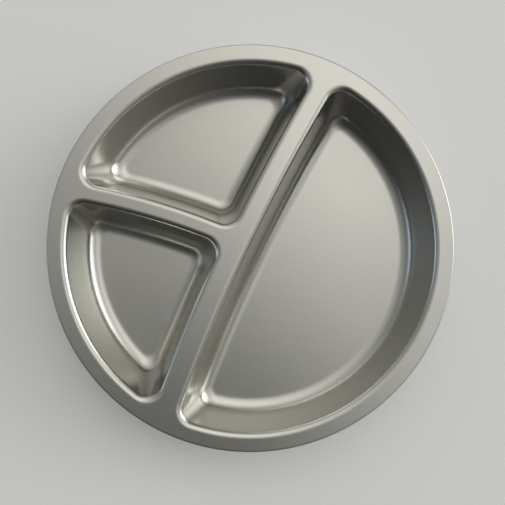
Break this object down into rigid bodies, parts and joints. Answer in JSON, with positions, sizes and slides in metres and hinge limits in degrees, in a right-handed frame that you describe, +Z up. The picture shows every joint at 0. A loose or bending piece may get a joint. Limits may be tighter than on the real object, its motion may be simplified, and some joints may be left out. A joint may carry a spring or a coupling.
{
  "type": "divided suction plate",
  "caption": "Round divided steel baby plate with curved dividers, double wall and folded rim, held to the table by a removable silicone suction base with a release tab.",
  "frame": {"origin": "on the table under the centre of the round plate, at the bottom of its box", "axes": "+Z up; +X along the main divider, with the larger of the two small wells on its +X side; +Y towards the two small wells; -Y towards the large well and the release tab"},
  "size_m": [0.19, 0.19, 0.0352],
  "materials": {
    "tray_steel": "satin, with brighter pressed walls and rounded lips",
    "shell_steel": "fine circumferential brushing",
    "ring_steel": "plain stamped, with spot-weld dimples",
    "silicone": "matte"
  },
  "bodies": {
    "suction_foot": {"suction_skirt": "silicone"},
    "base_hub": {"suction_hub": "silicone", "grip_collar": "silicone"},
    "plate": {"divided_tray": "tray_steel", "outer_shell": "shell_steel", "clip_ring": "ring_steel"},
    "tab": {"release_tab": "silicone"}
  },
  "joints": [
    {"name": "press_down", "type": "slide", "parent": "suction_foot", "child": "base_hub", "axis": [0, 0, 1], "range_m": [-0.0025, 0], "stiffness_N_per_m": 6000, "springref_m": 0.0012},
    {"name": "plate_lift", "type": "slide", "parent": "base_hub", "child": "plate", "axis": [0, 0, 1], "range_m": [0, 0.05], "deforming": ["grip_collar"]},
    {"name": "tab_pull", "type": "hinge", "parent": "suction_foot", "child": "tab", "pos_m": [0, -0.0723, 0.0013], "axis": [-1, 0, 0], "range_deg": [0, 35], "stiffness_Nm_per_rad": 0.03}
  ]
}
